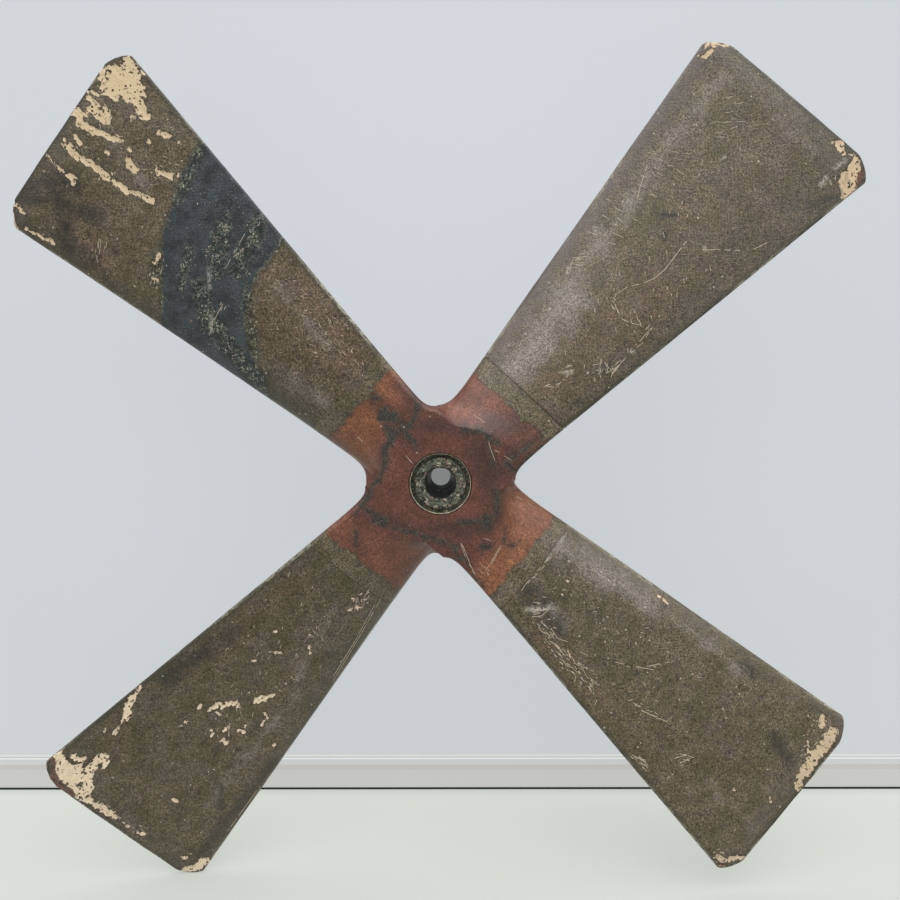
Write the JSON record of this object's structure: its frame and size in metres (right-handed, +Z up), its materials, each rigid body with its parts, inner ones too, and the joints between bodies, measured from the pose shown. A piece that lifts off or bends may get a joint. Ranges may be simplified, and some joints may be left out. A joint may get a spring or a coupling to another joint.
{
  "type": "four-bladed wooden windmill propeller",
  "caption": "Small fixed-pitch wooden propeller with crossed blade pairs half-lapped at the hub, linen-covered blades and a flanged metal bush for a tapered shaft.",
  "frame": {"origin": "point of the spin axis at mid thickness of the hub, inside the shaft bore", "axes": "-Y along the spin axis out of the face that shows the bush's flange, +Z up, +X to the right seen from that face"},
  "size_m": [0.5078, 0.038, 0.512],
  "materials": {
    "varnished_wood": "red-brown varnish over carved hardwood, worn and stained with dark grease round the boss",
    "doped_linen": "linen doped and painted dark olive, matt, scratched and chipped to pale wood at the tips",
    "dark_bronze": "oxidised green-black bronze with specks of old paint"
  },
  "bodies": {
    "root": {"blade_pair_front": "varnished_wood", "blade_pair_rear": "varnished_wood", "linen_upper_right": "doped_linen", "linen_upper_left": "doped_linen", "linen_lower_left": "doped_linen", "linen_lower_right": "doped_linen", "hub_bush": "dark_bronze", "rear_collar": "dark_bronze"}
  },
  "joints": []
}
